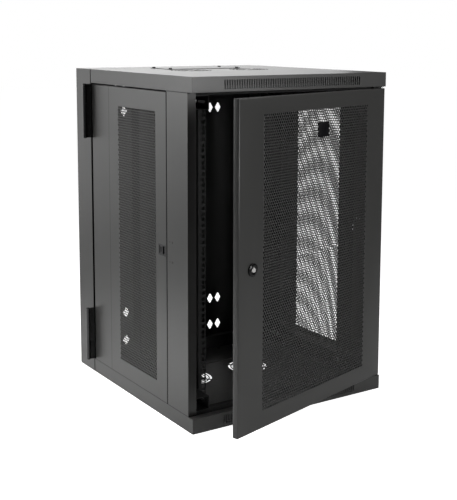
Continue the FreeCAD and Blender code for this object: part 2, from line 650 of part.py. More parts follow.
def side_panel(left_right, side):
    """A folded side panel with a perforated field and a slide latch at its front edge."""
    label = "side_panel_" + left_right
    body = new_body(label)
    top = "(%s - panel_top_gap)" % INNER_TOP
    foot = "(-%s + panel_low_gap)" % INNER_TOP
    skin = "%d * %s" % (side, HALF)
    low = skin + " - panel_fold - steel" if side > 0 else skin
    pad(body, "YZ", low, "panel_fold + steel", [rectangle(PANEL_FRONT, PANEL_BACK, foot, top)])
    end = skin + " - steel" if side > 0 else skin + " + panel_fold + steel"
    pocket(body, "YZ", end, "panel_fold", [rectangle(
        PANEL_FRONT + " + steel", PANEL_BACK + " - steel", foot + " + steel", top + " - steel")])
    field_front = "(%s + side_mesh_front)" % PANEL_FRONT
    field_low = "(%s + side_mesh_low)" % foot
    field = (field_front, field_front + " + side_mesh_wide",
             field_low, field_low + " + side_mesh_tall")
    face = skin if side > 0 else skin + " + steel"
    pocket(body, "YZ", face, "steel", [rectangle(*field)])
    # recess for the latch
    latch_front = "(%s + latch_inset)" % PANEL_FRONT
    hole = (latch_front, latch_front + " + latch_wide",
            "latch_height - latch_tall / 2", "latch_height + latch_tall / 2")
    pocket(body, "YZ", face, "steel", [rectangle(*hole)])
    near = "%d * (%s - steel)" % (side, HALF)
    far = "%d * (%s - panel_fold - steel)" % (side, HALF)
    tongue_low = "latch_height - tongue_tall / 2 - tongue_room"
    tongue_high = "latch_height + tongue_tall / 2 + tongue_room"
    pocket(body, "XZ", "-%s" % PANEL_FRONT, "steel",
           [[(near, tongue_low), (far, tongue_low), (far, tongue_high), (near, tongue_high)]])
    mesh = new_body("side_mesh_" + left_right)
    back = skin + " - steel - mesh_sheet" if side > 0 else skin + " + steel"
    pad(mesh, "YZ", back, "mesh_sheet", [rectangle(
        field[0] + " - mesh_lap", field[1] + " + mesh_lap", field[2] + " - mesh_lap",
        field[3] + " + mesh_lap")])
    open_grid(mesh, "YZ", back + " + mesh_sheet", field, "side_grid_columns")
    side_latch(left_right, side, hole)


def side_latch(left_right, side, hole):
    """The latch: a black cup let into the panel and a slider whose tongue runs forward."""
    cup = new_body("latch_bezel_" + left_right)
    front, back, low, high = hole
    skin = "%d * %s" % (side, HALF)
    rim = skin if side > 0 else skin + " - steel / 2"
    grow = "latch_rim"
    pad(cup, "YZ", rim, "steel / 2", [rectangle(
        front + " - " + grow, back + " + " + grow, low + " - " + grow, high + " + " + grow)])
    cup_low = skin + " - latch_deep" if side > 0 else skin
    pad(cup, "YZ", cup_low, "latch_deep", [rectangle(front, back, low, high)])
    inset = "latch_wall"
    mouth_end = skin + " + steel / 2" if side > 0 else skin + " + latch_deep - latch_wall"
    pocket(cup, "YZ", mouth_end, "latch_deep - latch_wall + steel / 2", [rectangle(
        front + " + " + inset, back + " - " + inset, low + " + " + inset, high + " - " + inset)])
    tongue_x = "%d * (%s - tongue_inset)" % (side, HALF)
    play = "latch_play"
    slot_low = "latch_height - tongue_tall / 2 - " + play
    slot_high = "latch_height + tongue_tall / 2 + " + play
    slot = rectangle(tongue_x + " - tongue_thick / 2 - " + play,
                     tongue_x + " + tongue_thick / 2 + " + play, slot_low, slot_high)
    pocket(cup, "XZ", "-%s" % front, "latch_wall", [slot])
    slider = new_body("latch_slider_" + left_right)
    slide_back = "%s - latch_wall - latch_play" % back
    slide_front = slide_back + " - latch_body"
    thick = "(latch_deep - latch_wall - 2 * latch_play)"
    inner = skin + " + %d * latch_play" % -side
    slide_low = inner + " - " + thick if side > 0 else inner
    pad(slider, "YZ", slide_low, thick, [rectangle(
        slide_front, slide_back, "latch_height - latch_tall / 2 + latch_wall + latch_play",
        "latch_height + latch_tall / 2 - latch_wall - latch_play")])
    tip = PANEL_FRONT + " + steel / 2"
    pad(slider, "XZ", "-(%s)" % slide_front, "(%s) - (%s)" % (slide_front, tip), [rectangle(
        tongue_x + " - tongue_thick / 2", tongue_x + " + tongue_thick / 2",
        "latch_height - tongue_tall / 2", "latch_height + tongue_tall / 2")])
    # finger groove across the slider's face
    groove_end = inner if side > 0 else inner + " + groove_deep"
    middle = "(%s + %s) / 2" % (slide_front, slide_back)
    pocket(slider, "YZ", groove_end, "groove_deep",
           [rectangle(middle + " - groove_wide / 2", middle + " + groove_wide / 2",
                      "latch_height - groove_tall / 2", "latch_height + groove_tall / 2")])


# ---- front door -----------------------------------------------------------------------------

def door_skin():
    """The door leaf: a folded pan with an inner lip, a window for the mesh and a lock hole."""
    body = new_body("door_skin")
    outer = rectangle("-" + DOOR_EDGE, DOOR_EDGE, DOOR_LOW, DOOR_HIGH)
    pad(body, "XZ", "-" + DOOR_BACK, "door_thick", [outer])

    def inset(margin):
        return rectangle("-%s + %s" % (DOOR_EDGE, margin), "%s - %s" % (DOOR_EDGE, margin),
                         "%s + %s" % (DOOR_LOW, margin), "%s - %s" % (DOOR_HIGH, margin))

    pocket(body, "XZ", "-%s - steel" % DOOR_FRONT, "door_thick - 2 * steel", [inset("steel")])
    pocket(body, "XZ", "-%s + steel" % DOOR_BACK, "steel", [inset("door_lip")])
    pocket(body, "XZ", "-" + DOOR_FRONT, "steel", [rectangle(*DOOR_WINDOW)])
    pocket(body, "XZ", "-" + DOOR_FRONT, "steel", [
        ("circle", "-%s + lock_from_edge" % DOOR_EDGE, "lock_height", "lock_barrel + running_gap")])
    for end in (DOOR_HIGH, DOOR_LOW + " + steel"):
        pocket(body, "XY", end, "steel",
               [("circle", DOOR_AXIS_X, DOOR_AXIS_Y, "door_pin_radius + running_gap")])


def door_inside():
    """The mesh sheet behind the window and the two stiffening channels beside it."""
    mesh = new_body("door_mesh")
    left, right, low, high = DOOR_WINDOW
    pad(mesh, "XZ", "-%s - steel - mesh_sheet" % DOOR_FRONT, "mesh_sheet", [rectangle(
        left + " - mesh_lap", right + " + mesh_lap", low + " - mesh_lap", high + " + mesh_lap")])
    open_grid(mesh, "XZ", "-%s - steel" % DOOR_FRONT, DOOR_WINDOW, "door_grid_columns")
    face = "(%s + steel)" % DOOR_FRONT
    crown = "(%s + stile_deep)" % face
    beside = "(mesh_lap + stile_gap)"
    free = "(-%s + door_mesh_free - %s - stile_wide)" % (DOOR_EDGE, beside)
    hinge = "(%s - door_mesh_hinge + %s)" % (DOOR_EDGE, beside)
    for label, left in (("door_stile_free", free), ("door_stile_hinge", hinge)):
        body = new_body(label)
        right = "(%s + stile_wide)" % left
        path = [(left, face), (left + " + stile_inset", face), (left + " + stile_inset", crown),
                (right + " - stile_inset", crown), (right + " - stile_inset", face), (right, face)]
        pad(body, "XY", DOOR_LOW + " + steel", "%s - %s - 2 * steel" % (DOOR_HIGH, DOOR_LOW),
            [bent_sheet(path[::-1])])
        if label == "door_stile_free":
            pocket(body, "XZ", "-%s" % face, "stile_deep + steel", [rectangle(
                "-%s + lock_from_edge - nut_across" % DOOR_EDGE,
                "-%s + lock_from_edge + nut_across" % DOOR_EDGE,
                "lock_height - nut_across", "lock_height + nut_across")])


def door_pins():
    """Two pivots welded into the door's ends and the bushes that they turn in."""
    for name, level in (("upper", 1), ("lower", -1)):
        edge = DOOR_HIGH if level > 0 else DOOR_LOW
        gap = "door_top_gap" if level > 0 else "door_low_gap"
        reach = "(%s + door_pin_reach)" % gap
        inside = "(steel + door_collar_tall)"
        low = edge + " - " + inside if level > 0 else edge + " - " + reach
        shank = cylinder("shank", "door_pin_radius", "%s + %s" % (reach, inside),
                         (DOOR_AXIS_X, DOOR_AXIS_Y, low))
        collar_at = edge + " - " + inside if level > 0 else edge + " + steel"
        collar = cylinder("collar", "door_collar", "door_collar_tall",
                          (DOOR_AXIS_X, DOOR_AXIS_Y, collar_at))
        keep("door_pin_" + name, fused("door_pin", [shank, collar]))
        ledge = "%d * %s" % (level, INNER_TOP)
        barrel_at = ledge if level > 0 else ledge + " - bush_long"
        barrel = cylinder("barrel", "bush_radius", "bush_long",
                          (DOOR_AXIS_X, DOOR_AXIS_Y, barrel_at))
        flange_at = ledge + " - bush_step" if level > 0 else ledge
        flange = cylinder("flange", "bush_flange", "bush_step",
                          (DOOR_AXIS_X, DOOR_AXIS_Y, flange_at))
        low = flange_at if level > 0 else barrel_at
        bore = cylinder("bore", "door_pin_radius + running_gap", "bush_long + bush_step",
                        (DOOR_AXIS_X, DOOR_AXIS_Y, low))
        keep("door_bush_" + name, cut("door_bush", fused("blank", [barrel, flange]), bore))


def bumpers():
    """Three small rubber bumpers on the back of the door's free edge."""
    x = "-%s + door_lip / 2" % DOOR_EDGE
    pads = [cylinder("bumper", "bumper_radius", "bumper_proud",
                     (x, DOOR_BACK, "lock_height + %d * bumper_spread" % step), ALONG_Y)
            for step in (-1, 0, 1)]
    group("door_bumpers", pads)


def lock(prefix, long, rim_at, along, turn, cam_plane, cam_outline):
    """A cam lock: rimmed housing, nut behind the sheet, key plug and flat cam.

    long is the barrel's length, rim_at is the centre of the sheet's outer face and along is +1
    or -1 for the way inwards on the axis that turn gives.
    """
    axis = 1 if turn == ALONG_Y else 0

    def start(offset, length):
        place = list(rim_at)
        low = offset if along > 0 else "%s + %s" % (offset, length)
        place[axis] = "%s + %d * (%s)" % (place[axis], along, low)
        return tuple(place)

    rim = cylinder("rim", "lock_rim", "lock_rim_thick",
                   start("-lock_rim_thick", "lock_rim_thick"), turn)
    barrel = cylinder("barrel", "lock_barrel", long, start("0", long), turn)
    whole = "(%s + lock_rim_thick)" % long
    bore = cylinder("bore", "plug_radius + running_gap", whole,
                    start("-lock_rim_thick", whole), turn)
    keep(prefix + "_housing", cut("housing", fused("blank", [rim, barrel]), bore))
    nut = hexagon("nut", "nut_across", "nut_thick", start("steel", "nut_thick"), turn)
    hole = cylinder("hole", "lock_barrel + running_gap", "nut_thick",
                    start("steel", "nut_thick"), turn)
    keep(prefix + "_nut", cut("lock_nut", nut, hole))
    plug_long = "(%s + lock_rim_thick + plug_proud)" % long
    plug = cylinder("plug", "plug_radius", plug_long,
                    start("-lock_rim_thick - plug_proud", plug_long), turn)
    # the keyway: a slot in the plug's outer end
    corner = list(start("-lock_rim_thick - plug_proud", "key_deep"))
    corner[1 - axis] = "%s - key_thick / 2" % corner[1 - axis]
    corner[2] = "%s - key_tall / 2" % corner[2]
    size = ["key_thick", "key_thick", "key_tall"]
    size[axis] = "key_deep"
    keep(prefix + "_plug", cut("key_plug", plug, block("keyway", corner, size)))
    cam = new_body(prefix + "_cam")
    at = start(long, "cam_thick")[axis]
    # the XZ plane's normal is -Y, so a plate there starts from its far face
    low = "-(%s + cam_thick)" % at if axis == 1 else at
    pad(cam, cam_plane, low, "cam_thick", [cam_outline])


def door_lock():
    """The round key lock on the door, with its cam pointing up when unlocked."""
    x = "(-%s + lock_from_edge)" % DOOR_EDGE
    cam = rectangle(x + " - cam_wide / 2", x + " + cam_wide / 2",
                    "lock_height - cam_wide / 2", "lock_height + cam_long")
    lock("door_lock", "lock_long", (x, DOOR_FRONT, "lock_height"), 1, ALONG_Y, "XZ", cam)


def swing_lock():
    """A second lock, on the right of the wall section, that holds the cabinet shut to it."""
    cam = rectangle("-swing_lock_back - swing_cam_long", "-swing_lock_back + cam_wide / 2",
                    "-cam_wide / 2", "cam_wide / 2")
    lock("swing_lock", "swing_lock_long", (HALF, "-swing_lock_back", "0"), -1, ALONG_X, "YZ", cam)
    keeper = new_body("swing_lock_keeper")
    inner = INNER_SIDE + " - steel"
    back = "(-swing_lock_back + cam_wide / 2 + keeper_gap)"
    front = "(%s - keeper_hold)" % REAR_POST_BACK
    outline = [(inner, front), (INNER_SIDE, front), (INNER_SIDE, back),
               (INNER_SIDE + " + keeper_lip", back), (INNER_SIDE + " + keeper_lip", back + " + steel"),
               (inner, back + " + steel")]
    pad(keeper, "XY", "keeper_base", "keeper_tall", [outline])


# ---- build ----------------------------------------------------------------------------------

def hang_door():
    """Turn the door and all that is on it about its pins to where it stands ajar."""
    axis = FreeCAD.Vector(value(DOOR_AXIS_X), value(DOOR_AXIS_Y), 0)
    turn = FreeCAD.Rotation(FreeCAD.Vector(0, 0, 1), value("door_ajar"))
    ajar = FreeCAD.Placement(FreeCAD.Vector(), turn, axis)
    for part in subparts:
        if part.Label in ("door_skin", "door_mesh", "door_bumpers") or part.Label.startswith(
                ("door_stile", "door_pin", "door_lock")):
            part.Placement = ajar * part.Placement


def check_and_write():
    """Stop if any object failed, then write each sub-part's shape."""
    doc.recompute()
    for item in doc.Objects:
        if "Invalid" in item.State or "Error" in item.State:
            raise RuntimeError("%s failed to build: %s" % (item.Name, item.State))
    for part in subparts:
        if part.Shape.isNull() or not part.Shape.isValid():
            raise RuntimeError("%s has no valid shape" % part.Label)
    os.makedirs("parts", exist_ok=True)
    for part in subparts:
        part.Shape.exportStep("parts/%s.step" % part.Label)
        solids = len(part.Shape.Solids)
        print("%-28s solids %d  volume %.0f" % (part.Label, solids, part.Shape.Volume))


wall_section()
swing_hinges()
pan("top_cover", 1)
pan("base_pan", -1)
cable_plates()
for hand, sign in (("left", -1), ("right", 1)):
    front_post("front_post_" + hand, sign)
    panel_jamb("panel_jamb_" + hand, sign)
    rear_post("rear_post_" + hand, sign)
    side_panel(hand, sign)
cross_members()
braces()
rails()
door_skin()
door_inside()
door_pins()
bumpers()
door_lock()
swing_lock()
hang_door()
check_and_write()
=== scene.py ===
"""Looks of the hinged wall-mount network cabinet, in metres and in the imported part's frame.

The wall is at Y = 0, the front looks along -Y and +Z is up. Most CAD nodes keep their meshes
and only get a finish. The pieces made here are the punched fields of the side panels and the
door, the door's folded leaf and its blank plate, the wall section's back panel with slimmer
fixing holes, the bolts of the rails, and the ring of the door's lock.
"""

import json
import math

import bmesh
import bpy
import numpy as np
from mathutils import Matrix, Vector


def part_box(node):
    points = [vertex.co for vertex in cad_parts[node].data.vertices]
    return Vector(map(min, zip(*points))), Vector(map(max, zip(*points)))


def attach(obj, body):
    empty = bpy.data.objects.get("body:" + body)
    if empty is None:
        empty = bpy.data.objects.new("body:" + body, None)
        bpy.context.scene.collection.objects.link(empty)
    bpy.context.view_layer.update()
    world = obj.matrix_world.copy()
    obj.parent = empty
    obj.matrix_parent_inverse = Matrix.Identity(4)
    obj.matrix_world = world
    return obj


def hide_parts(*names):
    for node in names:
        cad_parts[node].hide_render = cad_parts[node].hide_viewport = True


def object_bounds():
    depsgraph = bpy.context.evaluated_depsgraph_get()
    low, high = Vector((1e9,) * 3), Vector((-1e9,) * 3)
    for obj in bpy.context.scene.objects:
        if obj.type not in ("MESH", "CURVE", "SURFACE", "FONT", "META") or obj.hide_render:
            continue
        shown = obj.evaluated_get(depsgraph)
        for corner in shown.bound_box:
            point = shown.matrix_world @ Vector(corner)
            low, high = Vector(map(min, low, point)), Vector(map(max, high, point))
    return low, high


MM = 0.001
STEEL = 1.5 * MM         # thickness of the folded sheets and the braces
RAIL_STEEL = 2 * MM      # thickness of the rails
MESH_SHEET = 1.0 * MM    # thickness of the punched fields
PITCH = 8 * MM           # from hole to hole of a punched field
HOLE = 6 * MM            # across the flats of a hole
LAP = 8 * MM             # how far a CAD mesh sheet reaches behind its window's edge
HAIR = 0.01 * MM         # radius at which a turned shape is cut off at its axis
WELD = 0.001 * MM        # points nearer than this are one

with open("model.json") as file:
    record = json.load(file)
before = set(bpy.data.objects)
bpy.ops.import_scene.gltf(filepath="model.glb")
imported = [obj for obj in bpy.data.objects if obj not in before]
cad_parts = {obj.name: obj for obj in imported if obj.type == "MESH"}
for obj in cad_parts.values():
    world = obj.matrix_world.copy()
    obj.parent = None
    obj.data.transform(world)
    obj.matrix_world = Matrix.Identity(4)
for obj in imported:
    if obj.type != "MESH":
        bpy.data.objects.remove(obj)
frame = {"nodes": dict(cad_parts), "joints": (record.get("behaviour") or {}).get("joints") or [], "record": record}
NODES = frame["nodes"]
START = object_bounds()


# ---- places taken from the frame ------------------------------------------------------------

def joint_named(name):
    """A joint's entry in the frame."""
    return [joint for joint in frame["joints"] if joint["name"] == name][0]


# The door is stored ajar; its joint's lower limit is how far it turns to shut.
DOOR_JOINT = joint_named("door_swing")
AJAR = -math.radians(DOOR_JOINT["range_deg"][0])
DOOR_PIN = Vector(DOOR_JOINT["pos_m"])
HANG = (Matrix.Translation(DOOR_PIN) @ Matrix.Rotation(AJAR, 4, "Z")
        @ Matrix.Translation(-DOOR_PIN))


def mesh_points(mesh):
    """A mesh's vertices as an array of rows."""
    flat = np.empty(len(mesh.vertices) * 3)
    mesh.vertices.foreach_get("co", flat)
    return flat.reshape(-1, 3)


def carried(points, matrix):
    """Rows of points moved by a turn and shift: each point p becomes R p + t."""
    turn = np.array(matrix)
    return points @ turn[:3, :3].T + turn[:3, 3]


def shut_box(name):
    """Lowest and highest corner of a door node with the door turned shut."""
    points = carried(mesh_points(NODES[name].data), HANG.inverted())
    return points.min(axis=0), points.max(axis=0)


def door_place(points):
    """Points (u right, v up, w out of the front) of the shut door, moved to the door ajar."""
    front = shut_box("door_skin")[0][1]
    u, v, w = np.asarray(points).T
    return carried(np.column_stack([u, front - w, v]), HANG)


# ---- meshes from arrays ---------------------------------------------------------------------

def new_piece(name, points, quads, body, material):
    """An object at the origin from arrays of points and quads, riding on a body."""
    mesh = bpy.data.meshes.new(name)
    mesh.vertices.add(len(points))
    mesh.vertices.foreach_set("co", np.asarray(points, dtype=np.float32).ravel())
    mesh.loops.add(quads.size)
    mesh.loops.foreach_set("vertex_index", quads.astype(np.int32).ravel())
    mesh.polygons.add(len(quads))
    mesh.polygons.foreach_set("loop_start", np.arange(0, quads.size, 4, dtype=np.int32))
    mesh.update(calc_edges=True)
    mesh.validate()
    piece = bpy.data.objects.new(name, mesh)
    bpy.context.scene.collection.objects.link(piece)
    mesh.materials.append(material)
    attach(piece, body)
    return piece


def smooth_folds(piece, angle=50):
    """Shade bends smooth and keep edges that turn by more than an angle sharp."""
    mesh = piece.data
    mesh.polygons.foreach_set("use_smooth", np.ones(len(mesh.polygons), dtype=bool))
    mesh.set_sharp_from_angle(angle=math.radians(angle))


def together(parts):
    """Several pairs of points and quads as one pair."""
    starts = np.cumsum([0] + [len(points) for points, _ in parts[:-1]])
    points = np.concatenate([points for points, _ in parts])
    quads = np.concatenate([quads + start for (_, quads), start in zip(parts, starts)])
    return points, quads


def joined(points, quads):
    """Quads over shared points: points that round to the same place become one."""
    keys = np.round(points / WELD).astype(np.int64)
    _, first, which = np.unique(keys, axis=0, return_index=True, return_inverse=True)
    return points[first], which.reshape(-1)[quads]


def at_depth(flat, w):
    """Rows of (u, v) with the same depth w added to each."""
    return np.concatenate([flat, np.full(flat.shape[:-1] + (1,), w)], axis=-1)


def separate_quads(corners):
    """Corners in groups of four as rows of points, and the quad that each group makes."""
    points = corners.reshape(-1, 3)
    return points, np.arange(len(points)).reshape(-1, 4)


def plain_boxes(u0, u1, v0, v1):
    """Both faces of unpunched rectangles, one rectangle for each row of the four arrays."""
    ring = np.stack([np.column_stack([u0, v0]), np.column_stack([u1, v0]),
                     np.column_stack([u1, v1]), np.column_stack([u0, v1])], axis=1)
    faces = [at_depth(ring, 0.0), at_depth(ring[:, ::-1], -MESH_SHEET)]
    return separate_quads(np.concatenate(faces))


def edge_wall(u, v):
    """The sheet's cut edge under a line of points: S(k, w), w from the outer face inwards."""
    line = np.column_stack([u, v])
    top, bottom = at_depth(line, 0.0), at_depth(line, -MESH_SHEET)
    return separate_quads(np.stack([top[:-1], bottom[:-1], bottom[1:], top[1:]], axis=1))


def punched_cells(columns, rows, step_u, step_v):
    """Cells with a six-sided hole, in rows of which every other is moved half a cell.

    A cell is a ring between six points on its rim and the six corners of its hole, on both
    faces, with six walls through the hole. Its 24 points run outer rim, outer hole, inner
    rim, inner hole, six of each.
    """
    half_u, half_v = step_u / 2, step_v / 2
    rim = np.array([(0, half_v), (-half_u, half_v), (-half_u, -half_v),
                    (0, -half_v), (half_u, -half_v), (half_u, half_v)])
    sides = len(rim)
    angles = np.radians(90 + np.arange(sides) * 360 / sides)
    corner = HOLE / math.sqrt(3)
    hexagon = corner * np.column_stack([np.cos(angles), np.sin(angles)])
    column, row = np.meshgrid(np.arange(columns), np.arange(rows))
    moved = row % 2 == 1
    inside = ~(moved & (column == columns - 1))
    centre = np.column_stack([(column + 0.5 + 0.5 * moved)[inside] * step_u,
                              (row + 0.5)[inside] * step_v])[:, None, :]
    flat = np.concatenate([centre + rim, centre + hexagon], axis=1)
    points = np.concatenate([at_depth(flat, 0.0), at_depth(flat, -MESH_SHEET)], axis=1)

    here = np.arange(sides)
    after = (here + 1) % sides
    face = np.column_stack([here, after, after + sides, here + sides])
    behind = face[:, ::-1] + 2 * sides
    wall = np.column_stack([here + sides, after + sides, after + 3 * sides, here + 3 * sides])
    cell = np.concatenate([face, behind, wall])
    quads = cell[None] + 4 * sides * np.arange(len(flat))[:, None, None]
    return points.reshape(-1, 3), quads.reshape(-1, 4)


def punched_sheet(width, height):
    """A flat sheet full of holes in staggered rows, with u across, v up and w outwards.

    It is cut into equal cells, about a pitch wide and sin 60 of a pitch tall. Half cells
    without a hole square off the rows that are moved, and a wall runs round all four edges.
    """
    columns = round(width / PITCH)
    rows = round(height / (PITCH * math.sin(math.radians(60))))
    step_u = width / columns
    step_v = height / rows
    half_u = step_u / 2
    low = np.arange(1, rows, 2) * step_v
    nought = np.zeros(len(low))
    along_u = np.arange(2 * columns + 1) * half_u
    along_v = np.arange(rows + 1) * step_v
    return joined(*together([
        punched_cells(columns, rows, step_u, step_v),
        plain_boxes(nought, nought + half_u, low, low + step_v),
        plain_boxes(nought + width - half_u, nought + width, low, low + step_v),
        edge_wall(along_u, along_u * 0),
        edge_wall(along_v * 0 + width, along_v),
        edge_wall(along_u[::-1], along_u * 0 + height),
        edge_wall(along_v * 0, along_v[::-1]),
    ]))


def stacked_rings(rings):
    """A closed folded tray: each ring is a rectangle (u0, u1, v0, v1, w), joined to the next.

    The surface is S(k, c): k runs round the sheet's section, c round the four corners, and
    every cell between two rings and two corners is one quad. The last ring joins the first.
    """
    u0, u1, v0, v1, w = np.array(rings).T
    points = np.stack([np.column_stack([u0, v0, w]), np.column_stack([u1, v0, w]),
                       np.column_stack([u1, v1, w]), np.column_stack([u0, v1, w])], axis=1)
    k, c = np.meshgrid(np.arange(len(rings)), np.arange(4), indexing="ij")
    after_k = (k + 1) % len(rings)
    after_c = (c + 1) % 4
    quads = np.stack([k * 4 + c, after_k * 4 + c, after_k * 4 + after_c, k * 4 + after_c], axis=-1)
    return points.reshape(-1, 3), quads.reshape(-1, 4)


def bend(start, end, centre, steps=5):
    """Points of a quarter turn: centre + (start - centre) cos t + (end - centre) sin t."""
    a = np.subtract(start, centre)
    b = np.subtract(end, centre)
    turn = np.linspace(0, math.pi / 2, steps)[:, None]
    return centre + a * np.cos(turn) + b * np.sin(turn)


def turned(profile, sectors):
    """A surface of revolution S(s, t) = (a(s), r(s) cos t, r(s) sin t), closed at both ends.

    profile holds rows of (a, r) along the axis X; t runs round in equal sectors, an even
    number of them, and a strip of quads from side to side closes each end ring.
    """
    along, radius = np.array(profile).T
    turn = np.arange(sectors) * 2 * math.pi / sectors
    points = np.stack([np.broadcast_to(along[:, None], (len(along), sectors)),
                       radius[:, None] * np.cos(turn), radius[:, None] * np.sin(turn)], axis=-1)
    s, t = np.meshgrid(np.arange(len(along) - 1), np.arange(sectors), indexing="ij")
    after = (t + 1) % sectors
    quads = np.stack([s * sectors + t, s * sectors + after, (s + 1) * sectors + after,
                      (s + 1) * sectors + t], axis=-1).reshape(-1, 4)
    j = np.arange(sectors // 2 - 1)
    cap = np.column_stack([j, j + 1, sectors - 2 - j, sectors - 1 - j])
    quads = np.concatenate([quads, cap[:, ::-1], cap + (len(along) - 1) * sectors])
    return points.reshape(-1, 3), quads


# ---- shared shader groups -------------------------------------------------------------------

PATCHES = 14.0                        # broad patches of roughness in a metre
PATCH_DETAIL = 4.0
SPECKS = 60.0                         # patches of dust in a metre
SPECK_DETAIL = 5.0
DUST_GREY = (0.42, 0.41, 0.39, 1)
# Painted shade: the near-black painted along seam gaps and a side panel's fold line.
PAINTED_SHADE_BLACK = (0.001, 0.001, 0.001, 1)
GRAIN_HEIGHT = 0.1 * MM               # from its lows to its highs, at full strength
EDGE_SAMPLES = 4
FROM_COLOUR, TO_COLOUR = 6, 7         # a Mix node's colour inputs, which share their names
MIXED_COLOUR = 2                      # and its colour output


def new_group(name, inputs, outputs):
    """A shader node group with named float, colour or vector sockets."""
    tree = bpy.data.node_groups.new(name, "ShaderNodeTree")
    for label, kind, start in inputs:
        made = tree.interface.new_socket(name=label, in_out="INPUT", socket_type=kind)
        if start is not None:
            made.default_value = start
    for label, kind in outputs:
        tree.interface.new_socket(name=label, in_out="OUTPUT", socket_type=kind)
    return tree, tree.nodes.new("NodeGroupInput"), tree.nodes.new("NodeGroupOutput")


def placed_group(tree, group, vector, values):
    """A shared group put into a material: it reads a vector and gets values of its own."""
    node = tree.nodes.new("ShaderNodeGroup")
    node.node_tree = group
    tree.links.new(vector, node.inputs["Vector"])
    for label, value in values.items():
        node.inputs[label].default_value = value
    return node


def maths(tree, operation, first, second=None):
    """A Math node; each input is a socket or a number."""
    node = tree.nodes.new("ShaderNodeMath")
    node.operation = operation
    for index, item in enumerate((first, second)):
        if isinstance(item, bpy.types.NodeSocket):
            tree.links.new(item, node.inputs[index])
        elif item is not None:
            node.inputs[index].default_value = item
    return node.outputs[0]


def noise(tree, vector, scale, detail=2.0):
    """A noise texture's value on a vector; the scale is a socket or a number."""
    node = tree.nodes.new("ShaderNodeTexNoise")
    node.inputs["Detail"].default_value = detail
    if isinstance(scale, bpy.types.NodeSocket):
        tree.links.new(scale, node.inputs["Scale"])
    else:
        node.inputs["Scale"].default_value = scale
    tree.links.new(vector, node.inputs["Vector"])
    return node.outputs["Fac"]


def tinted(tree, colour, tint, share):
    """A colour that goes over to a fixed tint by a share from 0 to 1."""
    mix = tree.nodes.new("ShaderNodeMix")
    mix.data_type = "RGBA"
    tree.links.new(share, mix.inputs["Factor"])
    tree.links.new(colour, mix.inputs[FROM_COLOUR])
    mix.inputs[TO_COLOUR].default_value = tint
    return mix.outputs[MIXED_COLOUR]


def grain_group():
    """Fine grain: a height for a bump, and a roughness that wanders a little about a middle."""
    tree, entry, leave = new_group(
        "fine_grain",
        [("Vector", "NodeSocketVector", None), ("Grains per metre", "NodeSocketFloat", 900.0),
         ("Roughness", "NodeSocketFloat", 0.4), ("Wander", "NodeSocketFloat", 0.05)],
        [("Height", "NodeSocketFloat"), ("Roughness", "NodeSocketFloat")])
    fine = noise(tree, entry.outputs["Vector"], entry.outputs["Grains per metre"])
    broad = noise(tree, entry.outputs["Vector"], PATCHES, PATCH_DETAIL)
    offset = maths(tree, "SUBTRACT", broad, 0.5)
    wander = maths(tree, "MULTIPLY", offset, entry.outputs["Wander"])
    rough = maths(tree, "ADD", entry.outputs["Roughness"], wander)
    tree.links.new(fine, leave.inputs["Height"])
    tree.links.new(rough, leave.inputs["Roughness"])
    return tree


def dust_group():
    """A colour with a trace of pale dust where a face looks up, broken by noise."""
    tree, entry, leave = new_group(
        "settled_dust",
        [("Vector", "NodeSocketVector", None), ("Color", "NodeSocketColor", None),
         ("Amount", "NodeSocketFloat", 0.05)],
        [("Color", "NodeSocketColor")])
    geometry = tree.nodes.new("ShaderNodeNewGeometry")
    apart = tree.nodes.new("ShaderNodeSeparateXYZ")
    tree.links.new(geometry.outputs["True Normal"], apart.inputs[0])
    upward = maths(tree, "MAXIMUM", apart.outputs["Z"], 0.0)
    broken = noise(tree, entry.outputs["Vector"], SPECKS, SPECK_DETAIL)
    settled = maths(tree, "MULTIPLY", upward, broken)
    share = maths(tree, "MULTIPLY", settled, entry.outputs["Amount"])
    dusty = tinted(tree, entry.outputs["Color"], DUST_GREY, share)
    tree.links.new(dusty, leave.inputs["Color"])
    return tree


def painted_shadow_line_group():
    """How deep a point lies in a thin straight line of painted shadow, or in the lines before it if deeper.

    It is full within half of Width from the line's middle and falls to 0 at Width: Depth
    times 2 (1 - distance / Width), kept between 0 and 1.
    """
    tree, entry, leave = new_group(
        "painted_shadow_line",
        [("Vector", "NodeSocketVector", None), ("Across", "NodeSocketVector", (0, 1, 0)),
         ("Place", "NodeSocketFloat", 0.0), ("Width", "NodeSocketFloat", 0.002),
         ("Depth", "NodeSocketFloat", 1.0), ("Shade", "NodeSocketFloat", 0.0)],
        [("Shade", "NodeSocketFloat")])
    across = tree.nodes.new("ShaderNodeVectorMath")
    across.operation = "DOT_PRODUCT"
    tree.links.new(entry.outputs["Vector"], across.inputs[0])
    tree.links.new(entry.outputs["Across"], across.inputs[1])
    off = maths(tree, "SUBTRACT", across.outputs["Value"], entry.outputs["Place"])
    distance = maths(tree, "ABSOLUTE", off)
    share = maths(tree, "DIVIDE", distance, entry.outputs["Width"])
    near = maths(tree, "MULTIPLY", maths(tree, "SUBTRACT", 1.0, share), 2.0)
    near = maths(tree, "MAXIMUM", maths(tree, "MINIMUM", near, 1.0), 0.0)
    depth = maths(tree, "MULTIPLY", near, entry.outputs["Depth"])
    deepest = maths(tree, "MAXIMUM", depth, entry.outputs["Shade"])
    tree.links.new(deepest, leave.inputs["Shade"])
    return tree


GRAIN = grain_group()
DUST = dust_group()
PAINTED_SHADOW_LINE = painted_shadow_line_group()


# ---- finishes -------------------------------------------------------------------------------

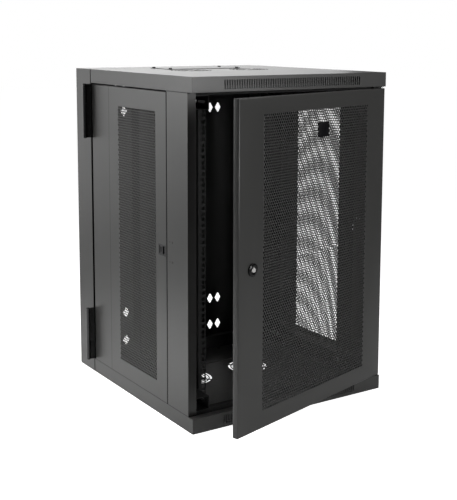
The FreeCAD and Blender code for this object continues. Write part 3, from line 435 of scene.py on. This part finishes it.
def paint_shade_lines(tree, vector, colour, lines):
    """Paint shade onto thin lines of a finish, where a sheet's fold turns away into a seam: the colour goes
    near-black and the surface goes metallic by the line's depth.

    Each line is its direction across, its place that way, its half width and its depth.
    """
    shade = None
    for across, place, width, depth in lines:
        line = placed_group(tree, PAINTED_SHADOW_LINE, vector,
                            {"Across": across, "Place": place, "Width": width, "Depth": depth})
        if shade:
            tree.links.new(shade, line.inputs["Shade"])
        shade = line.outputs["Shade"]
    shader = tree.nodes["Principled BSDF"]
    # Painted shade: near-black colour and metal along the lines, standing in for the shade of the gaps.
    darkened = tinted(tree, colour, PAINTED_SHADE_BLACK, shade)
    tree.links.new(darkened, shader.inputs["Base Color"])
    tree.links.new(shade, shader.inputs["Metallic"])


def finish(name, colour, roughness, metallic=0.0, grains=900.0, bump=0.0, wander=0.05,
           dust=0.0, edge=0.0, shine=0.5, lines=()):
    """A surface of one colour with grain in its height and roughness, and a trace of dust.

    edge is the radius that sharp edges seem to be rounded to, shine the strength of the
    plain reflection, and lines the painted shade along its folds at seam gaps.
    """
    material = bpy.data.materials.new(name)
    material.use_nodes = True
    material.diffuse_color = (*colour, 1)
    tree = material.node_tree
    shader = tree.nodes["Principled BSDF"]
    shader.inputs["Metallic"].default_value = metallic
    shader.inputs["Specular IOR Level"].default_value = shine
    place = tree.nodes.new("ShaderNodeTexCoord").outputs["Object"]

    grain = placed_group(tree, GRAIN, place,
                         {"Grains per metre": grains, "Roughness": roughness, "Wander": wander})
    tree.links.new(grain.outputs["Roughness"], shader.inputs["Roughness"])
    relief = tree.nodes.new("ShaderNodeBump")
    relief.inputs["Strength"].default_value = bump
    relief.inputs["Distance"].default_value = GRAIN_HEIGHT
    tree.links.new(grain.outputs["Height"], relief.inputs["Height"])
    tree.links.new(relief.outputs["Normal"], shader.inputs["Normal"])
    if edge:
        rounding = tree.nodes.new("ShaderNodeBevel")
        rounding.samples = EDGE_SAMPLES
        rounding.inputs["Radius"].default_value = edge
        tree.links.new(rounding.outputs["Normal"], relief.inputs["Normal"])

    dusty = placed_group(tree, DUST, place, {"Color": (*colour, 1), "Amount": dust})
    tree.links.new(dusty.outputs["Color"], shader.inputs["Base Color"])
    # Painted shade along the seam gaps of a piece, where lines are given.
    if lines:
        paint_shade_lines(tree, place, dusty.outputs["Color"], lines)
    return material


POWDER = (0.0362, 0.036, 0.0348)


def powder_coat(name, lines=()):
    """The outer sheets' satin black powder coat, with painted shade along a piece's own seam gaps."""
    return finish(name, POWDER, 0.34, bump=0.35, dust=0.06, edge=1.0 * MM, lines=lines)


MATERIALS = {
    "sheet_steel": powder_coat("satin_black_powder"),
    # Painted shade: the rails get a darker, duller copy of the black coat, for the shade inside the cabinet.
    "rail_steel": finish("rail_black_powder_painted_shade", (0.012, 0.012, 0.012), 0.5, bump=0.3, dust=0.02,
                         shine=0.2),
    "perforated_steel": finish("punched_black_powder", POWDER, 0.42, bump=0.35, dust=0.03),
    "hinge_black": finish("hinge_black_paint", (0.008, 0.008, 0.008), 0.24, grains=500.0,
                          bump=0.2, edge=0.8 * MM),
    "black_screws": finish("black_oxide", (0.03, 0.03, 0.03), 0.34, metallic=0.6, bump=0.2),
    "zinc_plate": finish("bright_zinc", (0.55, 0.56, 0.56), 0.34, metallic=1.0, bump=0.2,
                         wander=0.2),
    "lock_black": finish("lock_gloss_black", (0.002, 0.002, 0.002), 0.12, grains=200.0,
                         wander=0.02, edge=1.5 * MM),
    "key_plug": finish("lock_nickel", (0.78, 0.77, 0.75), 0.42, metallic=0.5, wander=0.1,
                       edge=0.5 * MM),
    "moulded_black": finish("moulded_nylon", (0.012, 0.012, 0.013), 0.5, grains=700.0, bump=0.5),
    "rubber": finish("pale_rubber", (0.3, 0.3, 0.29), 0.8, grains=600.0, bump=0.5),
    # Painted shade: a darker, duller copy of the black coat for the members inside the cabinet.
    "inner_steel": finish("inner_black_powder_painted_shade", (0.028, 0.028, 0.028), 0.5, bump=0.3, dust=0.01,
                          shine=0.1),
    "plate_black": finish("blank_plate_black", (0.006, 0.006, 0.007), 0.2, wander=0.03,
                          edge=0.5 * MM, shine=0.1),
}
# Members behind the outer sheets, in a darker and duller copy of the coat: painted shade, so that the gaps in
# front of them read dark.
SHADED_INNER = ("header", "sill", "brace", "panel_jamb", "rear_post")
SEAM_SHADE_REACH = 2.2 * MM         # how far the painted shade reaches from a seam
CREASE_SHADE_PLACE = 48 * MM        # from the rear edge of a side panel's mesh to the line of painted shade that stands for the panel's fold
# how dark the painted shade line at the side panel's fold is, from 0 to 1
CREASE_SHADE_DEPTH = 0.5
Y_WAY, Z_WAY = (0, 1, 0), (0, 0, 1)


def painted_seam_shade(across, places, depth=1.0):
    """Lines of painted shade at places along a direction."""
    return [(across, place, SEAM_SHADE_REACH, depth) for place in places]


def seam_shade_finishes():
    """Finishes for the sheets whose edges meet at an open seam, with the gap's shade painted along their edges,
    and a fainter painted shade line at a fold on the side panels.
    """
    low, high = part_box("side_panel_left")
    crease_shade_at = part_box("side_mesh_left")[1].y + CREASE_SHADE_PLACE
    shell_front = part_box("wall_shell")[0].y
    cover_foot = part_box("top_cover")[0].z
    pan_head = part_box("base_pan")[1].z
    # Painted shade: dark lines round the side panel's edges, and a fainter one at its fold.
    panel_shade_lines = (painted_seam_shade(Y_WAY, (low.y, high.y)) + painted_seam_shade(Z_WAY, (low.z, high.z))
                   + painted_seam_shade(Y_WAY, (crease_shade_at,), CREASE_SHADE_DEPTH))
    return {"side_panel": powder_coat("panel_powder_seam_shade", panel_shade_lines),
            # Painted shade at the shell's front edge and at the post's top and foot seam gaps.
            "wall_shell": powder_coat("shell_powder_seam_shade", painted_seam_shade(Y_WAY, (shell_front,))),
            "front_post": powder_coat("post_powder_seam_shade", painted_seam_shade(Z_WAY, (cover_foot, pan_head)))}


def paint_cad():
    """Give every CAD node the finish of its slot in the record, or one of its own."""
    special = {word: MATERIALS["inner_steel"] for word in SHADED_INNER}
    special.update(seam_shade_finishes())
    for entry in frame["record"]["subparts"]:
        mesh = NODES[entry["node"]].data
        material = MATERIALS[entry["material_slot"]]
        for word in special:
            if word in entry["node"]:
                material = special[word]
        mesh.materials.clear()
        mesh.materials.append(material)


# ---- side panels and door -------------------------------------------------------------------

def side_fields():
    """The side panels' punched fields, flush in the panels' windows.

    Each sheet's u runs rearwards on the right side and forwards on the left, v up and w away
    from the part, so that both show their outer faces.
    """
    for hand, side, body in (("left", -1, "left_panel"), ("right", 1, "right_panel")):
        low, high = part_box("side_mesh_" + hand)
        front, foot = low.y + LAP, low.z + LAP
        width, height = high.y - low.y - 2 * LAP, high.z - low.z - 2 * LAP
        points, quads = punched_sheet(width, height)
        u, v, w = points.T
        if side > 0:
            placed = np.column_stack([high.x + STEEL + w, front + u, foot + v])
        else:
            placed = np.column_stack([low.x - STEEL - w, front + width - u, foot + v])
        piece = new_piece("side_field_" + hand, placed, quads, body,
                          MATERIALS["perforated_steel"])
        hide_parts("side_mesh_" + hand)


def door_window():
    """The opening in the shut door's leaf: left, right, foot and head."""
    low, high = shut_box("door_mesh")
    return low[0] + LAP, high[0] - LAP, low[2] + LAP, high[2] - LAP


def door_leaf():
    """The door's folded tray: rectangles carried along the sheet's section.

    From the window's edge the section runs out over the front face, round the front fold,
    back along the side, round the rear fold to the lip, and home by the inside.
    """
    lip = 15 * MM
    outer = 2.6 * MM    # radius of a fold, outside
    low, high = shut_box("door_skin")
    deep = high[1] - low[1]
    window = door_window()

    def ring(inset, depth):
        """The door's outline moved in by inset, at a depth below the front face."""
        return (low[0] + inset, high[0] - inset, low[2] + inset, high[2] - inset, -depth)

    near = np.array((outer, outer))
    far = np.array((outer, deep - outer))
    section = [(*window, 0.0)]
    section += [ring(x, y) for x, y in bend((outer, 0), (0, outer), near)]
    section += [ring(x, y) for x, y in bend((0, deep - outer), (outer, deep), far)]
    section += [ring(lip, deep), ring(lip, deep - STEEL)]
    section += [ring(x, y) for x, y in bend((outer, deep - STEEL), (STEEL, deep - outer), far)]
    section += [ring(x, y) for x, y in bend((STEEL, outer), (outer, STEEL), near)]
    section.append((*window, -STEEL))
    points, quads = stacked_rings(section)
    leaf = new_piece("door_leaf", door_place(points), quads, "front_door",
                     MATERIALS["sheet_steel"])
    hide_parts("door_skin")
    smooth_folds(leaf)


def door_fields():
    """The door's punched field, in a lower and an upper half."""
    left, right, foot, head = door_window()
    split = foot + (head - foot) / 2
    for name, bottom, top in (("lower", foot, split), ("upper", split, head)):
        points, quads = punched_sheet(right - left, top - bottom)
        points = points + np.array([left, bottom, 0])
        field = new_piece("door_field_" + name, door_place(points), quads, "front_door",
                          MATERIALS["perforated_steel"])
        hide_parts("door_mesh")


def blank_plate():
    """The small blank plate near the top of the door's punched field, with a raised rim.

    A stack of rectangles: back, side, softened edge, rim and let-in face.
    """
    across, height = 21.5 * MM, 313 * MM    # the plate's middle on the shut door
    half_wide, half_tall = 23.5 * MM, 19 * MM
    proud = 1.6 * MM
    soft = 0.5 * MM
    rim = 1.4 * MM
    let_in = 0.5 * MM

    def ring(inset, w):
        """The plate's outline moved in by inset, at height w above the door's face."""
        return (across - half_wide + inset, across + half_wide - inset,
                height - half_tall + inset, height + half_tall - inset, w)

    section = [ring(0, 0), ring(0, proud - soft), ring(soft, proud), ring(rim, proud),
               ring(rim + let_in, proud - let_in)]
    points, quads = stacked_rings(section)
    # The last ring isn't joined to the first: a face and a back close the stack instead.
    corner = np.arange(4)
    ends = np.array([corner + 4 * (len(section) - 1), corner[::-1]])
    quads = np.concatenate([quads[:-4, ::-1], ends])
    new_piece("door_blank_plate", door_place(points), quads, "front_door",
              MATERIALS["plate_black"])


# ---- back panel, bolts and lock -------------------------------------------------------------

DIAMOND_X = (-185, -155, 155, 185)      # in mm
DIAMOND_Z = (-406, -317, 317, 406)
DIAMOND_REACH = 20 * MM                 # no point of a hole is further from its centre
DIAMOND_TIP = 10 * MM                   # points higher or lower than this are at a tip
TIP_DRAW = (0.45, 0.87)                 # factors across and up
WAIST_DRAW = (0.96, 0.6)


def wall_panel():
    """The wall section's back panel, its fixing holes drawn in to slimmer diamonds.

    A point at (x, z) from its hole's centre moves to (f x, g z), with one pair of factors
    for the four points at the tips and another for the four at the waist.
    """
    mesh = NODES["wall_back_panel"].data.copy()
    sheet = bmesh.new()
    sheet.from_mesh(mesh)
    bmesh.ops.remove_doubles(sheet, verts=sheet.verts, dist=WELD)
    sheet.to_mesh(mesh)
    sheet.free()
    points = mesh_points(mesh)
    for x in DIAMOND_X:
        for z in DIAMOND_Z:
            off = points[:, [0, 2]] - np.array([x, z]) * MM
            near = np.hypot(off[:, 0], off[:, 1]) < DIAMOND_REACH
            tip = np.abs(off[:, 1:]) > DIAMOND_TIP
            factors = np.where(tip, TIP_DRAW, WAIST_DRAW)
            points[:, [0, 2]] -= np.where(near[:, None], off * (1 - factors), 0)
    mesh.vertices.foreach_set("co", points.astype(np.float32).ravel())
    mesh.update()
    panel = bpy.data.objects.new("wall_panel", mesh)
    bpy.context.scene.collection.objects.link(panel)
    mesh.materials.clear()
    mesh.materials.append(MATERIALS["sheet_steel"])
    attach(panel, "wall_section")
    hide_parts("wall_back_panel")


def bolt_sections():
    """Half sections (along, radius) of a carriage bolt, each with its number of sectors.

    Along runs outwards from the rail's inner face. The head is a quarter ellipse, the nut a
    six-sided ring and the stud's end a short cylinder.
    """
    head, reach = 5.5 * MM, 2.6 * MM
    nut_across, nut_tall = 10 * MM, 4.5 * MM
    stud, spare = 2.9 * MM, 2 * MM
    sectors = 14
    seat = RAIL_STEEL + STEEL
    top = seat + nut_tall
    corner = nut_across / math.sqrt(3)
    climb = np.linspace(0, math.pi / 2, 5)
    dome = [(-reach * math.cos(a), head * math.sin(a) + HAIR) for a in climb]
    dome.append((0, HAIR))
    nut = [(seat, stud), (seat, corner), (top, corner), (top, stud)]
    end = [(top, stud), (top + spare, stud), (top + spare, HAIR)]
    return (dome, sectors), (nut, 6), (end, sectors)


def bolt_places(hand, side):
    """Where the bolts of one side go in at a rail's inner face: two for every brace."""
    apart = 10 * MM     # of a bolt from the rail's middle
    places = []
    for rail in ("front_rail_", "rear_rail_"):
        low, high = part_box(rail + hand)
        inner = (high.x if side > 0 else -low.x) - RAIL_STEEL
        middle = (low.y + high.y) / 2
        for brace in ("lower_brace_", "upper_brace_"):
            foot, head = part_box(brace + hand)
            for step in (-apart, apart):
                places.append((side * inner, middle + step, (foot.z + head.z) / 2))
    return places


def rail_bolts():
    """Carriage bolts that clamp the rails to the braces: domes inside, hexagon nuts outside."""
    for hand, side in (("left", -1), ("right", 1)):
        parts = []
        for place in bolt_places(hand, side):
            for profile, sectors in bolt_sections():
                points, quads = turned(profile, sectors)
                if side < 0:
                    quads = quads[:, ::-1]
                parts.append((points * [side, 1, 1] + place, quads))
        points, quads = together(parts)
        new_piece("rail_bolts_" + hand, points, quads, "cabinet", MATERIALS["zinc_plate"])


def lock_ring():
    """The domed ring of the door's lock, about the axis that its key turns on.

    Its half section climbs a quarter ellipse from the door's face to a crest, dips by the
    square of the way towards the plug, and goes down beside the plug to its seat.
    """
    outer, crest, inner = 16.2 * MM, 12 * MM, 7.5 * MM
    tall, dip, seat = 5.2 * MM, 1.1 * MM, 0.5 * MM
    sectors = 40
    key = joint_named("door_key_turn")
    face, out = np.array(key["pos_m"]), np.array(key["axis"])
    up = np.array([0.0, 0.0, 1.0])
    side = np.cross(up, out)
    climb = np.linspace(0, math.pi / 2, 8)
    descent = np.linspace(0.2, 1, 5)    # shares of the way from the crest to the plug
    profile = [(tall * math.sin(a), crest + (outer - crest) * math.cos(a)) for a in climb]
    profile += [(tall - dip * k * k, crest + (inner - crest) * k) for k in descent]
    profile.append((seat, inner))
    points, quads = turned(profile, sectors)
    points = face + points[:, :1] * out + points[:, 1:2] * side + points[:, 2:] * up
    ring = new_piece("lock_ring", points, quads, "front_door", MATERIALS["lock_black"])
    smooth_folds(ring)


# ---- stage, lights and camera ---------------------------------------------------------------

WHITE = (1, 1, 1, 1)
FLOOR_PAINT = (0.9, 0.9, 0.9, 1)
FLOOR_ROUGHNESS = 0.9
FLOOR_SHINE = 0.1
FLOOR_REACH = 14.0           # from the origin to each edge
FLOOR_GAP = 0.5 * MM         # below the part
FLOOR_GLOW = 0.93
WORLD_LIGHT = 0.08
WORLD_BEHIND = (0.75, 1.0)   # between which Y of a direction the backdrop comes into reflections
FLOOR_BEHIND = (0.5, 4.0)    # between which places along Y the white of the floor does

# name, place, what it faces, width and height, brightness of its face, spread in degrees
SOFTBOXES = [
    ("overhead", (0.0, -0.5, 2.3), (0.0, -0.4, 0.0), (1.8, 1.8), 3.6, 95),
    ("left_low", (-1.15, -0.25, 1.1), (-0.8, -0.15, -0.45), (0.8, 0.8), 26.0, 70),
    ("left_back", (-2.95, 2.3, 0.8), (-0.3, -0.4, 0.3), (1.4, 1.2), 10.0, 80),
    ("right_back", (1.9, 3.4, 1.1), (0.0, 0.0, 0.4), (2.6, 1.2), 2.1, 90),
    ("front_strip", (1.15, -3.9, 0.95), (0.0, -0.6, 0.3), (1.0, 1.8), 20.0, 60),
]

CAMERA_PLACE = (-1.543754, -2.744264, 0.558347)
CAMERA_YAW, CAMERA_DIP, CAMERA_ROLL = 33.58, 7.578, 0.247   # degrees
SENSOR, FOCAL = 36, 71.874                                  # millimetres
LENS_SHIFT = (-0.0254, -0.17)
CLIP = (0.05, 60)


def shown_ray_mix(tree, hidden, seen, behind, target):
    """Link to target one shader for what is seen and another for the light that it gives.

    Reflections and glass show what is seen too, by the share that lies behind the part.
    """
    light_path = tree.nodes.new("ShaderNodeLightPath")
    mirrored = maths(tree, "MAXIMUM", light_path.outputs["Is Glossy Ray"],
                     light_path.outputs["Is Transmission Ray"])
    mirrored = maths(tree, "MULTIPLY", mirrored, behind)
    shown = maths(tree, "MAXIMUM", light_path.outputs["Is Camera Ray"], mirrored)
    mix = tree.nodes.new("ShaderNodeMixShader")
    tree.links.new(shown, mix.inputs[0])
    tree.links.new(hidden.outputs[0], mix.inputs[1])
    tree.links.new(seen.outputs[0], mix.inputs[2])
    tree.links.new(mix.outputs[0], target)


def share_behind(tree, vector, low, high):
    """A value that goes smoothly from 0 to 1 as a vector's Y goes from low to high."""
    apart = tree.nodes.new("ShaderNodeSeparateXYZ")
    tree.links.new(vector, apart.inputs[0])
    step = tree.nodes.new("ShaderNodeMapRange")
    step.interpolation_type = "SMOOTHSTEP"
    step.inputs["From Min"].default_value = low
    step.inputs["From Max"].default_value = high
    tree.links.new(apart.outputs["Y"], step.inputs["Value"])
    return step.outputs[0]


def white_floor():
    """A pale floor that takes the part's shadow: its paint gives the light, its glow is seen."""
    mesh = bpy.data.meshes.new("floor")
    reach = FLOOR_REACH
    level = START[0].z - FLOOR_GAP
    mesh.from_pydata([(-reach, -reach, level), (reach, -reach, level),
                      (reach, reach, level), (-reach, reach, level)], [], [(0, 1, 2, 3)])
    floor = bpy.data.objects.new("floor", mesh)
    bpy.context.scene.collection.objects.link(floor)
    paint = bpy.data.materials.new("pale_floor")
    paint.use_nodes = True
    tree = paint.node_tree
    shader = tree.nodes["Principled BSDF"]
    shader.inputs["Base Color"].default_value = FLOOR_PAINT
    shader.inputs["Roughness"].default_value = FLOOR_ROUGHNESS
    shader.inputs["Specular IOR Level"].default_value = FLOOR_SHINE
    glow = tree.nodes.new("ShaderNodeEmission")
    glow.inputs["Strength"].default_value = FLOOR_GLOW
    both = tree.nodes.new("ShaderNodeAddShader")
    tree.links.new(shader.outputs[0], both.inputs[0])
    tree.links.new(glow.outputs[0], both.inputs[1])
    place = tree.nodes.new("ShaderNodeNewGeometry")
    behind = share_behind(tree, place.outputs["Position"], *FLOOR_BEHIND)
    shown_ray_mix(tree, shader, both, behind, tree.nodes["Material Output"].inputs["Surface"])
    mesh.materials.append(paint)


def studio_world():
    """A backdrop that gives a little light from all round and is seen as white."""
    world = bpy.data.worlds.new("studio")
    bpy.context.scene.world = world
    world.use_nodes = True
    tree = world.node_tree
    background = tree.nodes["Background"]
    background.inputs["Color"].default_value = WHITE
    background.inputs["Strength"].default_value = WORLD_LIGHT
    seen = tree.nodes.new("ShaderNodeBackground")
    seen.inputs["Color"].default_value = WHITE
    seen.inputs["Strength"].default_value = 1.0
    way = tree.nodes.new("ShaderNodeTexCoord")
    behind = share_behind(tree, way.outputs["Generated"], *WORLD_BEHIND)
    shown_ray_mix(tree, background, seen, behind, tree.nodes["World Output"].inputs["Surface"])


def soft_light(name, place, target, size, radiance, spread):
    """A rectangular softbox with a grid that narrows it to a spread in degrees.

    Its power follows from how bright its face is to be, less what the grid gathers: the light
    falls off with the tangent of the angle, so that is tan(a) / (tan(a) - a) for half spread a.
    """
    lamp = bpy.data.lights.new(name, "AREA")
    lamp.shape = "RECTANGLE"
    lamp.size, lamp.size_y = size
    half = math.radians(spread) / 2
    gathered = math.tan(half) / (math.tan(half) - half)
    lamp.spread = 2 * half
    lamp.energy = radiance * math.pi * size[0] * size[1] / gathered
    holder = bpy.data.objects.new(name, lamp)
    bpy.context.scene.collection.objects.link(holder)
    holder.location = place
    aim = Vector(target) - Vector(place)
    holder.rotation_euler = aim.to_track_quat("-Z", "Y").to_euler()
    holder.visible_camera = False


def studio():
    """The floor, the backdrop and the softboxes."""
    white_floor()
    studio_world()
    for light in SOFTBOXES:
        soft_light(*light)


def camera():
    """A long lens from the front left, a little above the part, looking slightly down."""
    scene = bpy.context.scene
    lens = bpy.data.cameras.new("camera")
    holder = bpy.data.objects.new("camera", lens)
    scene.collection.objects.link(holder)
    scene.camera = holder
    yaw, dip, roll = (math.radians(a) for a in (CAMERA_YAW, CAMERA_DIP, CAMERA_ROLL))
    forward = Vector((math.sin(yaw) * math.cos(dip), math.cos(yaw) * math.cos(dip),
                      -math.sin(dip)))
    right = Vector((math.cos(yaw), -math.sin(yaw), 0))
    up = right.cross(forward)
    turn = Matrix((right, up, -forward)).transposed() @ Matrix.Rotation(roll, 3, "Z")
    holder.matrix_world = Matrix.Translation(CAMERA_PLACE) @ turn.to_4x4()
    lens.sensor_width = SENSOR
    lens.lens = FOCAL
    lens.shift_x, lens.shift_y = LENS_SHIFT
    lens.clip_start, lens.clip_end = CLIP


paint_cad()
side_fields()
door_leaf()
door_fields()
blank_plate()
wall_panel()
rail_bolts()
lock_ring()
studio()
camera()

scene = bpy.context.scene
scene.view_settings.view_transform = "Standard"
